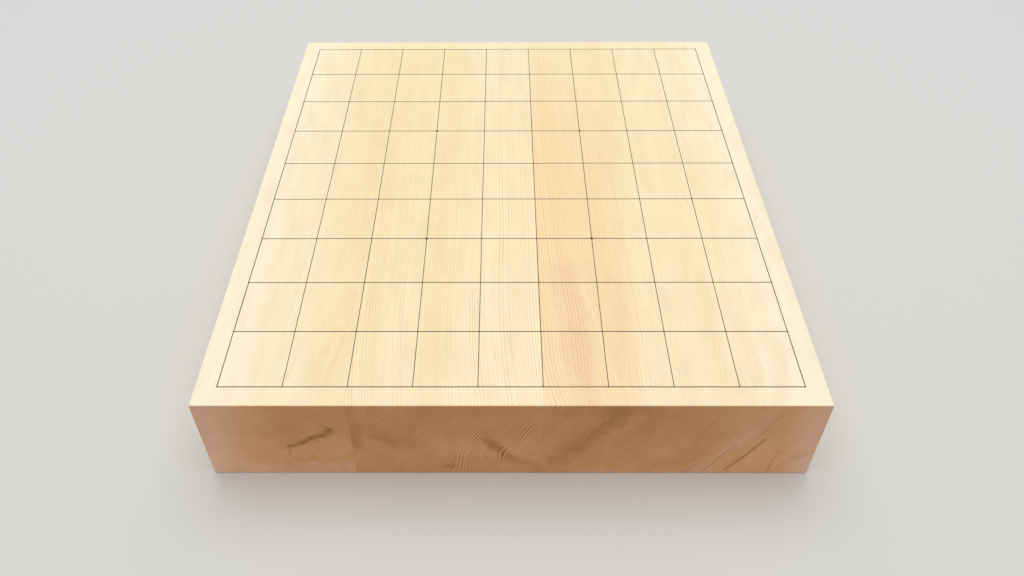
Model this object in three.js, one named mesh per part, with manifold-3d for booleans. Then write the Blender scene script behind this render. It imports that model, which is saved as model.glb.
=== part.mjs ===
// A table-top shogi board: three thick staves of pale conifer glued edge to edge, with the
// playing grid drawn on top in raised lacquer. The board stands flat on its underside.
// Millimetres, +Z up, +X to the player's right, +Y away from the player. The origin is the
// middle of the underside.

import * as THREE from "three";
import { ConvexGeometry } from "three/addons/geometries/ConvexGeometry.js";
import { mergeVertices } from "three/addons/utils/BufferGeometryUtils.js";
import Module from "manifold-3d";

// Board
const boardWidth = 333; // 1.1 shaku, across the files
const boardLength = 364; // 1.2 shaku, along the files
const boardThickness = 63; // 2 sun and a little more for planing the face again
const edgeChamfer = 1; // thread edge planed along every outer edge
const glueThickness = 0.2; // film of glue left in each butt joint

// Grid
const gridMargin = 12; // bare wood between the grid and the board's edge, the same all round
const squareCountAcross = 9;
const squareCountAlong = 9;
const jointUnderFile = [2, 5]; // the two joints are hidden under these file lines, counted from 0

// Lacquer
const innerFileWidth = 0.48; // drawn along the grain
const innerRankWidth = 0.56; // drawn across the grain, where lacquer spreads more
const borderLineWidth = 0.58;
const fileLineHeight = 0.12;
const rankLineHeight = 0.12;
const crossingRamp = 0.4; // run in which a rank line climbs onto a file line
const starRadius = 0.95;
const starCover = 0.12; // lacquer of a star point above the crossing that it covers
const starSquareCount = 3; // squares between a star point and the two nearest borders

// Making of the star points
const starSides = 24;
const starSteps = 5;
const cutOverrun = 0.05; // how far a cut runs past the face that it starts from

// Worked out from the sizes above
const gridWidth = boardWidth - 2 * gridMargin;
const gridLength = boardLength - 2 * gridMargin;
const fileX = spread(squareCountAcross, gridWidth);
const rankY = spread(squareCountAlong, gridLength);
const jointX = jointUnderFile.map((file) => fileX[file]);

// Finishes, from the photograph
const paleWood = { color: "#f3deb0", roughness: 0.55, metalness: 0 };
const evenWood = { color: "#f4e0b5", roughness: 0.55, metalness: 0 };
const warmWood = { color: "#eecf9b", roughness: 0.55, metalness: 0 };
const driedGlue = { color: "#d8b27e", roughness: 0.6, metalness: 0 };
const darkLacquer = { color: "#2b2730", roughness: 0.35, metalness: 0 };

const wasm = await Module();
wasm.setup();

// Places of the lines that divide a run, centred on zero, into equal squares.
function spread(squares, run) {
  return Array.from({ length: squares + 1 }, (_, i) => (i / squares - 0.5) * run);
}

// Width of line number i of a set: the two outer lines are the border.
function lineWidth(i, squares, innerWidth) {
  return i === 0 || i === squares ? borderLineWidth : innerWidth;
}

// One named piece with a material of its own.
function piece(name, geometry, finish) {
  const mesh = new THREE.Mesh(geometry, new THREE.MeshStandardMaterial(finish));
  mesh.name = name;
  return mesh;
}

// A slice of the board between two places along X. Its ends are chamfered above and below,
// and a side that is free, not glued, is chamfered on all its edges.
function boardSlice(xLow, xHigh, lowIsFree, highIsFree) {
  const endY = boardLength / 2;
  const points = [];
  const sides = [
    { x: xLow, inset: lowIsFree ? edgeChamfer : 0 },
    { x: xHigh, inset: highIsFree ? -edgeChamfer : 0 },
  ];
  const edges = [
    { faceZ: 0, sideZ: edgeChamfer },
    { faceZ: boardThickness, sideZ: boardThickness - edgeChamfer },
  ];
  for (const { x, inset } of sides) {
    for (const { faceZ, sideZ } of edges) {
      for (const end of [-1, 1]) {
        points.push(new THREE.Vector3(x + inset, end * (endY - edgeChamfer), faceZ));
        points.push(new THREE.Vector3(x + inset, end * endY, sideZ));
        if (inset !== 0) {
          points.push(new THREE.Vector3(x, end * (endY - edgeChamfer), sideZ));
        }
      }
    }
  }
  return new ConvexGeometry(points);
}

// The three staves, each as wide as the squares above it, with a film of glue between.
function makeStaves() {
  const [leftJoint, rightJoint] = jointX;
  const film = glueThickness / 2;
  const side = boardWidth / 2;
  return [
    piece("stave_left", boardSlice(-side, leftJoint - film, true, false), paleWood),
    piece("stave_middle", boardSlice(leftJoint + film, rightJoint - film, false, false), evenWood),
    piece("stave_right", boardSlice(rightJoint + film, side, false, true), warmWood),
    piece("glue_line_left", boardSlice(leftJoint - film, leftJoint + film, false, false), driedGlue),
    piece("glue_line_right", boardSlice(rightJoint - film, rightJoint + film, false, false), driedGlue),
  ];
}

// A file line: a straight ridge of lacquer from the near border line to the far one.
function makeFileLine(x, i) {
  const width = lineWidth(i, squareCountAcross, innerFileWidth);
  const ridge = new THREE.BoxGeometry(width, gridLength + borderLineWidth, fileLineHeight);
  const mesh = piece(`file_line_${numbered(i)}`, ridge, darkLacquer);
  mesh.position.set(x, 0, fileLineHeight / 2);
  return mesh;
}

// Side outline of a rank line, X against height: it lies on the wood between the files and
// climbs over each file line, which is already dry when the ranks are drawn.
function rankOutline() {
  const under = [];
  const over = [];
  fileX.forEach((x, i) => {
    const half = lineWidth(i, squareCountAcross, innerFileWidth) / 2;
    const raised = fileLineHeight + rankLineHeight;
    if (i > 0) {
      under.push([x - half, 0]);
      over.push([x - half - crossingRamp, rankLineHeight]);
    }
    under.push([x - half, fileLineHeight], [x + half, fileLineHeight]);
    over.push([x - half, raised], [x + half, raised]);
    if (i < squareCountAcross) {
      under.push([x + half, 0]);
      over.push([x + half + crossingRamp, rankLineHeight]);
    }
  });
  return new THREE.Shape([...under, ...over.reverse()].map(([x, z]) => new THREE.Vector2(x, z)));
}

// A rank line: the outline above, as deep along Y as the line is wide.
function makeRankLine(y, i) {
  const width = lineWidth(i, squareCountAlong, innerRankWidth);
  const ridge = new THREE.ExtrudeGeometry(rankOutline(), { depth: width, bevelEnabled: false });
  const mesh = piece(`rank_line_${numbered(i)}`, ridge, darkLacquer);
  mesh.rotation.x = Math.PI / 2;
  mesh.position.set(0, y + width / 2, 0);
  return mesh;
}

// A star point before it is cut: a low round drop of lacquer, closed underneath.
function starDrop() {
  const height = fileLineHeight + rankLineHeight + starCover;
  const sphere = (starRadius ** 2 + height ** 2) / (2 * height);
  const opening = Math.asin(starRadius / sphere);
  const outline = [new THREE.Vector2(0, 0), new THREE.Vector2(starRadius, 0)];
  for (let step = 1; step < starSteps; step += 1) {
    const angle = opening * (1 - step / starSteps);
    outline.push(new THREE.Vector2(sphere * Math.sin(angle), height - sphere * (1 - Math.cos(angle))));
  }
  outline.push(new THREE.Vector2(0, height));
  return new THREE.LatheGeometry(outline, starSides).rotateX(Math.PI / 2);
}

// A star point over one crossing, cut away underneath by the two lines that meet there.
function makeStarPoint(name, fileLine, rankLine, x, y) {
  const drop = piece(name, starDrop(), darkLacquer);
  drop.position.set(x, y, 0);
  const cut = toSolid(drop).subtract(openCut(fileLine)).subtract(openCut(rankLine));
  return piece(name, toGeometry(cut), darkLacquer);
}

// The room that a line takes, run on below the wood's surface so that a cut is open there.
function openCut(line) {
  const lowered = line.clone();
  lowered.position.z -= cutOverrun;
  return toSolid(line).add(toSolid(lowered));
}

// A mesh, where its own position and rotation put it, as a solid that can be cut.
function toSolid(mesh) {
  mesh.updateMatrix();
  const bare = new THREE.BufferGeometry();
  bare.setAttribute("position", mesh.geometry.attributes.position.clone());
  bare.setIndex(mesh.geometry.index);
  const merged = mergeVertices(bare).applyMatrix4(mesh.matrix);
  const corners = merged.index.array;
  const triVerts = [];
  for (let i = 0; i < corners.length; i += 3) {
    const [a, b, c] = corners.subarray(i, i + 3);
    if (a !== b && b !== c && c !== a) triVerts.push(a, b, c);
  }
  return new wasm.Manifold(
    new wasm.Mesh({
      numProp: 3,
      vertProperties: merged.attributes.position.array,
      triVerts: new Uint32Array(triVerts),
    }),
  );
}

// A cut solid as a geometry again.
function toGeometry(solid) {
  const { vertProperties, triVerts } = solid.getMesh();
  const geometry = new THREE.BufferGeometry();
  geometry.setAttribute("position", new THREE.BufferAttribute(vertProperties, 3));
  geometry.setIndex(new THREE.BufferAttribute(triVerts, 1));
  return geometry;
}

// Line numbers in names run from 01, from the left or from the player's side.
function numbered(i) {
  return String(i + 1).padStart(2, "0");
}

// The grid of lacquer: files first, ranks over them, star points over the crossings.
function makeGrid() {
  const grid = new THREE.Group();
  const files = fileX.map(makeFileLine);
  const ranks = rankY.map(makeRankLine);
  grid.add(...files, ...ranks);
  const columns = { left: starSquareCount, right: squareCountAcross - starSquareCount };
  const rows = { near: starSquareCount, far: squareCountAlong - starSquareCount };
  for (const [rowName, rank] of Object.entries(rows)) {
    for (const [columnName, file] of Object.entries(columns)) {
      const name = `star_point_${rowName}_${columnName}`;
      grid.add(makeStarPoint(name, files[file], ranks[rank], fileX[file], rankY[rank]));
    }
  }
  grid.position.z = boardThickness;
  return grid;
}

const board = new THREE.Group();
board.add(...makeStaves(), makeGrid());

export default board;
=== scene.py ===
"""A table-top shogi board: three thick staves of pale conifer glued edge to edge, with the playing
grid drawn on top in raised lacquer.

The file is laid out as an add-on and is run as a script. Lengths are metres, +Z is up, +X is to
the player's right and +Y away from the player. Materials work in millimetres.
"""

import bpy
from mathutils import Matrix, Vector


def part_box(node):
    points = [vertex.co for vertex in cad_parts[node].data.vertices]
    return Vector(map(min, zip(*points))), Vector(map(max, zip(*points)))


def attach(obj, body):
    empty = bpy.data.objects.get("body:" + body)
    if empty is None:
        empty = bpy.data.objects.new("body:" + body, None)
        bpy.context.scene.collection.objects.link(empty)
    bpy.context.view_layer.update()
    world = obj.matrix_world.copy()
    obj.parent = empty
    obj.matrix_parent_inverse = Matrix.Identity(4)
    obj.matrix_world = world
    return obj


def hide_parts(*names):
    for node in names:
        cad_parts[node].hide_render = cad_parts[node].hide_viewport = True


bl_info = {
    "name": "Shogi board",
    "version": (1, 0, 0),
    "blender": (4, 5, 0),
    "location": "3D View > Sidebar > Shogi board",
    "description": "Makes a shogi board of three staves with a grid of raised lacquer",
    "category": "Add Mesh",
}

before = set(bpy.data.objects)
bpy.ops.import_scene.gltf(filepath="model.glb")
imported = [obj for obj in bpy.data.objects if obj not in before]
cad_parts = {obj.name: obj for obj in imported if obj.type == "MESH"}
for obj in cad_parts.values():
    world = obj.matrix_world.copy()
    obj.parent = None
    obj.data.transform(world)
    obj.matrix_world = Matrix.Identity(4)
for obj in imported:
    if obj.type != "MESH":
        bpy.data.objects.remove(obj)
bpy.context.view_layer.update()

import math
from typing import NamedTuple

import bmesh
import bpy
from bpy.props import FloatProperty, FloatVectorProperty, IntProperty, PointerProperty
from mathutils import Vector

BODY = "root"
MM = 0.001

# The staves and the films of glue in their joints, from the left
STAVES = ("left", "middle", "right")
GLUE_FILMS = ("left", "right")
BOARD_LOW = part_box("stave_left")[0]
BOARD_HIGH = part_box("stave_right")[1]
EDGE_SEGMENTS = 5

# Lines of the grid. Crowding says how closely a line's points draw together at its crossings, from
# 0 to 1. The hand's errors come and go within the hand run, and the lacquer's fill more often.
# HAND_ERRORS is the range of noise that makes the greatest errors to either side.
LINE_COUNT = 10
POINTS_PER_SQUARE = 32
CROWDING = 0.95
CROWN_SIDES = 14
HAND_RUN = 18 * MM
HAND_ERRORS = (0.2, 0.8)
FILL_RATE = 3.0

# Star points. Their unevenness is a share of the radius, and STAR_LUMPS says how small its lumps are.
STAR_POINTS = ("near_left", "near_right", "far_left", "far_right")
STAR_SEGMENTS = 40
STAR_RINGS = 16
STAR_UNEVEN = 0.12
STAR_LUMPS = 0.8

# Kinds of node that are used most
MATH = "ShaderNodeMath"
VECTOR_MATH = "ShaderNodeVectorMath"
MAP_RANGE = "ShaderNodeMapRange"
MIX = "ShaderNodeMix"
NOISE = "ShaderNodeTexNoise"
SEPARATE = "ShaderNodeSeparateXYZ"
COMBINE = "ShaderNodeCombineXYZ"


def linear(hex_colour):
    """An sRGB hex colour as linear red, green, blue and alpha."""
    shares = [int(hex_colour[i : i + 2], 16) / 255 for i in (1, 3, 5)]
    return (*[s / 12.92 if s <= 0.04045 else ((s + 0.055) / 1.055) ** 2.4 for s in shares], 1.0)


def share(value, low, high):
    """Where a value lies between two others, from 0 to 1."""
    return (value - low) / (high - low)


def connect(tree, socket, value):
    """Gives a socket a plain value, an output, or the first output of a node."""
    if isinstance(value, bpy.types.Node):
        value = next(s for s in value.outputs if s.enabled)
    if isinstance(value, bpy.types.NodeSocket):
        tree.links.new(value, socket)
    else:
        socket.default_value = value


def add(tree, kind, inputs=(), operation=None, stops=(), points=(), **settings):
    """Adds a node with its settings and links, and returns it.

    inputs holds what each socket gets, in order or by its name or number. operation is that of a
    math node. stops are the places and colours of a colour ramp, points the places of a curve's
    points.
    """
    node = tree.nodes.new(kind)
    if operation:
        node.operation = operation
    for name, value in settings.items():
        setattr(node, name, value)
    given = inputs if isinstance(inputs, dict) else dict(enumerate(inputs))
    for key, value in given.items():
        socket = node.inputs[key]
        if isinstance(key, str):
            socket = next(s for s in node.inputs if s.name == key and s.enabled)
        connect(tree, socket, value)
    if stops:
        elements = node.color_ramp.elements
        while len(elements) < len(stops):
            elements.new(1.0)
        for element, (place, colour) in zip(elements, stops):
            element.position = place
            element.color = colour
    if points:
        line = node.mapping.curves[0].points
        while len(line) < len(points):
            line.new(1.0, 1.0)
        for point, place in zip(line, points):
            point.location = place
        node.mapping.update()
    return node


def new_group(name, kind, inputs, output):
    """A new node group, and the sockets of its input node.

    inputs holds names by kind of socket, output one name and its kind.
    """
    tree = bpy.data.node_groups.new(name, kind)
    sockets = [(each, "INPUT", socket) for socket, names in inputs.items() for each in names]
    for each, way, socket in (*sockets, (output[0], "OUTPUT", output[1])):
        tree.interface.new_socket(each, in_out=way, socket_type=f"NodeSocket{socket}")
    return tree, add(tree, "NodeGroupInput").outputs


def new_material(name):
    """A new material, its tree and its shader."""
    material = bpy.data.materials.new(name)
    material.use_nodes = True
    return material, material.node_tree, material.node_tree.nodes["Principled BSDF"]


def new_object(name, data):
    """A new object, linked to the scene."""
    made = bpy.data.objects.new(name, data)
    bpy.context.scene.collection.objects.link(made)
    return made


# Settings that a user would change


def colour_setting(name, description, hex_colour):
    """A colour that a user can set, with its default as an sRGB hex value."""
    return FloatVectorProperty(
        name=name, description=description, default=linear(hex_colour), size=4, subtype="COLOR"
    )


def length_setting(name, description, default):
    """A length that a user can set."""
    return FloatProperty(name=name, description=description, default=default, unit="LENGTH")


def share_setting(name, description, default):
    """A share that a user can set."""
    return FloatProperty(name=name, description=description, default=default, subtype="FACTOR")


def settings_of(group):
    """The names of a group's settings, in order."""
    return [name for name in group.bl_rna.properties.keys() if name not in ("rna_type", "name")]


class BoardSizes(bpy.types.PropertyGroup):
    edge_round: length_setting("Edge round", "Radius of each outer edge, from plane and sandpaper", 0.8 * MM)
    grip: length_setting("Lacquer grip", "How deep the lacquer of a line has sunk into the wood", 0.02 * MM)
    climb_run: length_setting("Climb run", "Run in which a line climbs onto one that it crosses", 0.4 * MM)
    sway: length_setting("Sway", "How far a line drawn by hand strays to either side", 0.05 * MM)
    swell: share_setting("Swell", "How much a line grows and shrinks on its way, as a share", 0.12)
    file_fill: share_setting("File fill", "Share of its room that a lengthwise line fills", 0.87)
    seed: IntProperty(
        name="Hand",
        description="Seed of the small errors of the hand that drew the lines",
        default=7,
    )


class BoardColours(bpy.types.PropertyGroup):
    sapwood: colour_setting("Sapwood", "Planed face: the palest wood, from under the bark", "#fdf3d4")
    cream: colour_setting("Cream", "Planed face: pale wood next to the sapwood", "#fbefc9")
    straw: colour_setting("Straw", "Planed face: even wood with fine rings", "#faeabe")
    honey: colour_setting("Honey", "Planed face: warm wood with fine rings", "#f9e5b4")
    amber: colour_setting("Amber", "Planed face: heartwood rich in resin", "#f9dda8")
    blush: colour_setting("Blush", "Planed face: reddish heartwood beside a wave in the grain", "#ecca9e")
    autumn_line: colour_setting("Autumn wood", "Planed face: tint of a year's dense wood", "#d0ba80")
    end_pale: colour_setting("Pale end", "End grain of the sapwood", "#ddb190")
    end_tan: colour_setting("Tan end", "End grain of the even wood", "#d4a06e")
    end_brown: colour_setting("Brown end", "End grain of the warm wood", "#c89259")
    end_dark: colour_setting("Dark end", "End grain of the heartwood", "#ad7548")
    end_fleck: colour_setting("End fleck", "What a ring adds to the end grain, or takes away", "#c4a583")
    end_rust: colour_setting("Rust end", "End grain reddened by resin", "#c2834a")
    resin: colour_setting("Resin", "Resin in the streaks and knots of the end grain", "#9a6630")
    glue_face: colour_setting("Glue", "Clear glue in a joint, as seen on the face", "#f2dcae")
    glue_end: colour_setting("Glue on the end", "Clear glue in a joint, as seen on the end", "#c08b57")
    lacquer: colour_setting("Lacquer", "Black lacquer of the grid, with a warm cast", "#2b2523")


class StageLook(bpy.types.PropertyGroup):
    floor: colour_setting("Floor", "Plain pale floor under the board", "#dadad8")
    backdrop: colour_setting("Backdrop", "What the camera sees past the floor", "#e4e4e2")
    daylight: FloatProperty(
        name="Even light",
        description="Strength of the light that comes from all round",
        default=0.5,
    )
    softbox_power: FloatProperty(
        name="Softbox power",
        description="Power of the wide lamp overhead, in watts",
        default=34.0,
    )
    lens: FloatProperty(
        name="Lens",
        description="Focal length on a sensor 36 mm wide, in millimetres",
        default=30.1,
    )


class BoardSettings(bpy.types.PropertyGroup):
    sizes: PointerProperty(type=BoardSizes)
    colours: PointerProperty(type=BoardColours)
    stage: PointerProperty(type=StageLook)


# Wood


class Swirl(NamedTuple):
    """A knot or wave that pushes the year rings aside, in millimetres."""

    centre: tuple
    radius: float
    push: tuple


class Stroke(NamedTuple):
    """A soft stroke of another tone between two points, in millimetres."""

    start: tuple
    end: tuple
    half_width: float
    tone: str
    strength: float


class Stave(NamedTuple):
    """How the log's grain runs through one stave, in millimetres.

    pith is the middle of the log across and up, ring the growth of a year. bends are places along
    the board and how far the fibres have strayed there, by the two bend_shares at the stave's left
    and right side. Tones, the clarity of the rings on the face and their relief on the end are
    given across the board, and relief_rise gives the heights between which that relief comes in.
    Strokes lie across and along on the face, across and up on the near end.
    """

    pith: tuple
    ring: float
    bends: tuple
    bend_shares: tuple
    far_tones: tuple
    near_tones: tuple
    far_clarity: tuple
    near_clarity: tuple
    end_tones: tuple
    end_relief: tuple
    relief_rise: tuple
    swirls: tuple
    face_strokes: tuple
    end_strokes: tuple
    seed: float


class Pattern(NamedTuple):
    """A soft mottle: its size across, along and up in millimetres, its least and greatest value,
    and how many finer layers it has."""

    size: tuple
    low: float
    high: float
    detail: float = 2.0


# The grain of the three logs that the staves were sawn from
LEFT_GRAIN = Stave(
    pith=(30, -190),
    ring=1.3,
    bends=((-182, -11), (-160, -6), (-140, -3), (-100, 0), (0, 0), (90, -4), (182, -10)),
    bend_shares=(0.4, 1),
    far_tones=((-160, "sapwood"), (-140, "cream"), (-122, "straw"), (-92, "honey")),
    near_tones=((-160, "sapwood"), (-138, "cream"), (-112, "straw"), (-92, "honey")),
    far_clarity=((-166, 0.05), (-140, 0.08), (-86, 0.08)),
    near_clarity=((-166, 0.05), (-140, 0.08), (-86, 0.08)),
    end_tones=((-163, "end_pale"), (-140, "end_tan"), (-118, "end_brown")),
    end_relief=((-166, 0.05), (-86, 0.05)),
    relief_rise=(-20, -10),
    swirls=(Swirl((-110, -182, 32), 26, (5, 4)),),
    face_strokes=(
        Stroke((-103, -166), (-94, -130), 4, "blush", 0.35),
        Stroke((-93, -172), (-89, -135), 3, "blush", 0.35),
        Stroke((-91, -104), (-91, -128), 4, "blush", 0.3),
        Stroke((-112, -138), (-114, -165), 4, "blush", 0.2),
        Stroke((-124, -134), (-122, -150), 3, "blush", 0.25),
        Stroke((-138, -96), (-138, -131), 4, "blush", 0.2),
    ),
    end_strokes=(
        # Pale stroke along the foot: painted light bounced up from the floor, like the paler foot of the
        # ends
        Stroke((-150, 0), (-86, 2), 15, "end_pale", 0.75),
        Stroke((-136, 24), (-90, 24), 16, "end_tan", 0.8),
        Stroke((-100, 28), (-90, 32), 8, "end_tan", 0.5),
        Stroke((-121, 19), (-120, 27), 1.6, "resin", 0.7),
        Stroke((-120, 27), (-112, 30), 1.9, "resin", 0.9),
        Stroke((-112, 30), (-107, 34.5), 2.1, "resin", 1.0),
        Stroke((-107, 34.5), (-101, 36.5), 2.4, "resin", 1.0),
        Stroke((-101, 36.5), (-96, 41), 2.8, "resin", 1.0),
        # A wide faint stroke along the crack that the resin strokes draw, a little above it: painted soft
        # shade of the crack
        Stroke((-118, 28), (-96, 40), 5, "resin", 0.35),
        Stroke((-96, 41), (-100, 46), 1.8, "resin", 0.7),
    ),
    seed=3.0,
)
MIDDLE_GRAIN = Stave(
    pith=(225, -120),
    ring=1.35,
    bends=((-182, 4.5), (-167, 3), (-150, 1.5), (-128, 0.3), (-90, 0), (-40, 0.6), (20, 0), (182, 1)),
    bend_shares=(1, 1),
    far_tones=((-44, "honey"), (-20, "straw")),
    near_tones=((-80, "honey"), (-60, "straw"), (-44, "honey"), (-24, "straw")),
    far_clarity=((-86, 0.2), (-48, 0.08), (-36, 0.15), (-17, 0.3), (17, 0.4)),
    near_clarity=((-86, 0.5), (-62, 0.5), (-48, 0.15), (-36, 0.4), (-17, 0.5), (17, 0.5)),
    end_tones=((-80, "end_brown"), (17, "end_brown")),
    end_relief=((-86, 0.4), (-62, 0.45), (-50, 0.35), (-35, 0.3), (-22, 0.36), (0, 0.5), (17, 0.55)),
    relief_rise=(-18, 24),
    swirls=(
        Swirl((12, -182, 22), 48, (-6, 0)),
        Swirl((-9, -182, 24), 14, (2, -1)),
        Swirl((-26, -182, -15), 52, (-13, 0)),
        Swirl((-58, -182, -12), 42, (12, 0)),
        Swirl((-74, -182, 40), 30, (-4, 0)),
        Swirl((-38, 182, 22), 32, (9, 4)),
    ),
    face_strokes=(
        Stroke((-28.5, 31), (-27.5, 30), 0.9, "resin", 0.25),
        Stroke((-38, -96), (-38, -130), 5, "amber", 0.4),
        Stroke((-26, -145), (-26, -168), 5, "amber", 0.25),
    ),
    end_strokes=(
        Stroke((-40, 26), (14, 24), 15, "end_tan", 0.65),
        Stroke((-83, 58), (-85, 28), 7, "end_rust", 0.9),
        Stroke((-82, 46), (-84, 28), 5, "end_dark", 0.6),
        Stroke((-74, 42), (-54, 30), 11, "end_rust", 0.8),
        Stroke((-72, 36), (-62, 26), 4, "resin", 0.4),
        Stroke((-36, 58), (0, 60), 8, "end_rust", 0.5),
        Stroke((-12, 32), (-7, 24), 5, "resin", 0.65),
        Stroke((-6, 25), (0, 16), 5, "resin", 0.6),
        Stroke((-11, 30), (-8, 26), 2, "resin", 0.5),
        Stroke((-4, 16), (14, 8), 6, "end_dark", 0.6),
        Stroke((-36, 8), (-32, 7), 3.5, "resin", 0.6),
    ),
    seed=11.0,
)
RIGHT_GRAIN = Stave(
    pith=(416, -188),
    ring=1.75,
    bends=(
        *((-182, 16.5), (-168, 13.6), (-156, 11.2), (-148, 10.2), (-130, 9.5)),
        *((-95, 6.0), (-60, 3.5), (10, 0), (182, -2)),
    ),
    bend_shares=(1, -0.6),
    far_tones=((78, "honey"), (94, "straw"), (122, "straw"), (140, "cream"), (158, "sapwood")),
    near_tones=((62, "amber"), (76, "straw"), (124, "straw"), (140, "cream"), (158, "sapwood")),
    far_clarity=(
        *((17, 0.3), (34, 0.25), (42, 0.05), (60, 0.12), (78, 0.15)),
        *((95, 0.05), (120, 0.12), (145, 0.12), (166, 0.05)),
    ),
    near_clarity=(
        *((17, 0.52), (34, 0.58), (46, 0.45), (58, 0.22), (66, 0.3), (84, 0.25), (95, 0.1)),
        *((104, 0.2), (117, 0.2), (122, 0.1), (134, 0.2), (148, 0.15), (166, 0.05)),
    ),
    end_tones=((100, "end_brown"), (128, "end_tan"), (150, "end_tan"), (163, "end_pale")),
    end_relief=(
        *((18, 0.4), (44, 0.35), (56, 0.12), (64, 0.06), (92, 0.06)),
        *((104, 0.1), (122, 0.22), (142, 0.2), (166, 0.06)),
    ),
    relief_rise=(-10, 44),
    swirls=(
        Swirl((41, -182, 62), 25, (-4.5, 0)),
        Swirl((52, -170, 60), 30, (4, 0)),
        Swirl((96, -182, 20), 30, (-5, 3)),
    ),
    face_strokes=(
        Stroke((30, 110), (30, -40), 22, "amber", 0.95),
        Stroke((29, -84), (30, -150), 15, "blush", 0.7),
        Stroke((30, -138), (28, -190), 14, "blush", 0.8),
        Stroke((38, -95), (48, -168), 1.7, "cream", 0.4),
        Stroke((58, -92), (60, -172), 8, "blush", 0.25),
        Stroke((80, -120), (92, -176), 11, "honey", 0.6),
        Stroke((112, -92), (112, -172), 7, "amber", 0.4),
        Stroke((131, -120), (132, -168), 5, "amber", 0.4),
        Stroke((139, -90), (140, -172), 3.5, "sapwood", 0.6),
        Stroke((150, -132), (150, -168), 5, "amber", 0.3),
        Stroke((128, 20), (130, -80), 3.5, "amber", 0.35),
    ),
    end_strokes=(
        Stroke((25, 12), (58, 57), 11, "end_dark", 0.8),
        Stroke((32, 22), (54, 50), 6, "end_dark", 0.5),
        Stroke((30, 60), (66, 62), 13, "end_dark", 0.6),
        Stroke((60, 28), (80, 58), 10, "end_dark", 0.45),
        # Pale stroke along the foot: painted light bounced up from the floor, like the paler foot of the
        # ends
        Stroke((38, -2), (118, 0), 12, "end_pale", 0.45),
        Stroke((66, 8), (92, 30), 12, "end_tan", 0.4),
        Stroke((104, 2), (134, 50), 9, "end_pale", 0.35),
        Stroke((108, 3), (122, 29), 1.2, "resin", 0.6),
        Stroke((97, 1), (103, 8), 1.2, "resin", 0.5),
        Stroke((120, 4), (130, 20), 1.5, "resin", 1.0),
        Stroke((130, 20), (137, 33), 1.4, "resin", 0.9),
        Stroke((116, 20), (130, 40), 4, "end_pale", 0.4),
        Stroke((133, 38), (141, 54), 2, "end_dark", 0.35),
        Stroke((143, 1), (145, 8), 1.3, "resin", 0.7),
        Stroke((144, 10), (146, 22), 1.6, "resin", 0.4),
        Stroke((156, 16), (164, 20), 5, "end_dark", 0.3),
    ),
    seed=23.0,
)
GRAIN = dict(zip(STAVES, (LEFT_GRAIN, MIDDLE_GRAIN, RIGHT_GRAIN)))

# Growth of a year: how dense its wood is from spring to autumn, and the mean of that. A year's autumn
# wood has at least the share PALEST_AUTUMN of the full density. Lean and fat years come and go at
# LUCK_RATE a year, and shift the rings by up to LUCK of a year.
YEAR_PROFILE = ((0.0, 0.0), (0.45, 0.12), (0.75, 0.75), (0.87, 1.0), (0.97, 0.4), (1.0, 0.0))
MEAN_AUTUMN = 0.24
PALEST_AUTUMN = 0.4
LUCK_RATE = 0.22
LUCK = 0.9

# Shape of the trunk, in millimetres: the greatest bend to either side, then the size of its slow waver
# across, along and up, and how wide that is
BEND_SPAN = 30.0
TRUNK_WAVER_SIZE = (28, 240, 28)
TRUNK_WAVER = 5

# Ragged edge of a stroke, in millimetres: the size of its raggedness, and how far this reaches, as a
# share of the stroke's half width and a length more. Then the fibres that took the stroke's tone,
# with their size along the stroke and away from it.
RAG_SIZE = 7
RAG_SHARE = 0.9
RAG_REACH = 1.5
STROKE_FIBRES = Pattern((13, 1.5, 1), 0.45, 1.1)

# Mottle of the face. Single fibres, 0.03 mm wide, are too fine to show, so bundles are drawn.
# MOTTLE_RANGE is the range of noise that makes a mottle's least and greatest values.
MOTTLE_RANGE = (0.3, 0.7)
TONE_WOBBLE = Pattern((60, 150, 60), -5.0, 5.0, 1.0)
BLUSHES = Pattern((8, 32, 8), -0.15, 0.25)
CLEAR_RINGS = Pattern((9, 45, 9), 0.25, 1.35)
FINE_FIBRES = Pattern((0.6, 11, 0.6), 0.97, 1.02, 3.0)
STREAKS = Pattern((2.6, 120, 2.6), 0.982, 1.01)
CLOUDS = Pattern((22, 45, 22), 0.985, 1.01)

# Mottle of the ends: where the rings show, then what each adds to them. Pores are drawn coarser than
# the real ones, as bundles too. In a band or streak, the size across is in years. A ring's relief is
# an even wave and the density of its wood, weighed by RING_WAVE and RING_DENSITY.
RINGS_SHOWN = Pattern((12, 12, 12), -0.45, 1.8)
LEAST_RINGS = 0.05
YEAR_BANDS = Pattern((6, 60, 60), -0.045, 0.045)
YEAR_STREAKS = Pattern((1.2, 60, 11), -0.04, 0.04)
BLOTCHES = Pattern((17, 17, 17), -0.04, 0.04)
PORES = Pattern((0.7, 6, 0.7), -0.02, 0.02)
RING_WAVE = 0.35
RING_DENSITY = -0.5

# Tones change from the far end on, and are wholly the near ones at NEAR_TONES_Y. A faint tint also changes
# along the board, darkest and warmest in the middle and none at the far end; its tints are given from the
# near end to the far one.
# Painted light: a paler margin round the grid stands for a glow of light along the board's edges, with its
# distances from the edge in millimetres and its strength at the far and the near end. The ends are painted
# paler towards their foot, from the height given below down, as light bounced up from the floor.
NEAR_TONES_Y = -90.0
LENGTHWISE_TINTS = ((0.0, "#fefcff"), (0.35, "#fefcfa"), (0.55, "#fefcfa"), (0.85, "#ffffff"))
GLOW_BAND = (17.0, 3.0)
GLOW_STRENGTH = (0.38, 0.12)
BOUNCE_HEIGHT = 40
BOUNCE_TINT = (1.19, 1.21, 1.3)
SIDE_WARMTH = 0.85
SIDE_CLARITY = 0.5

# How much of its normal lies along an axis, for a face that begins to count as turned to it, and one
# that does so fully
TURNED = (0.6, 0.9)

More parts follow.
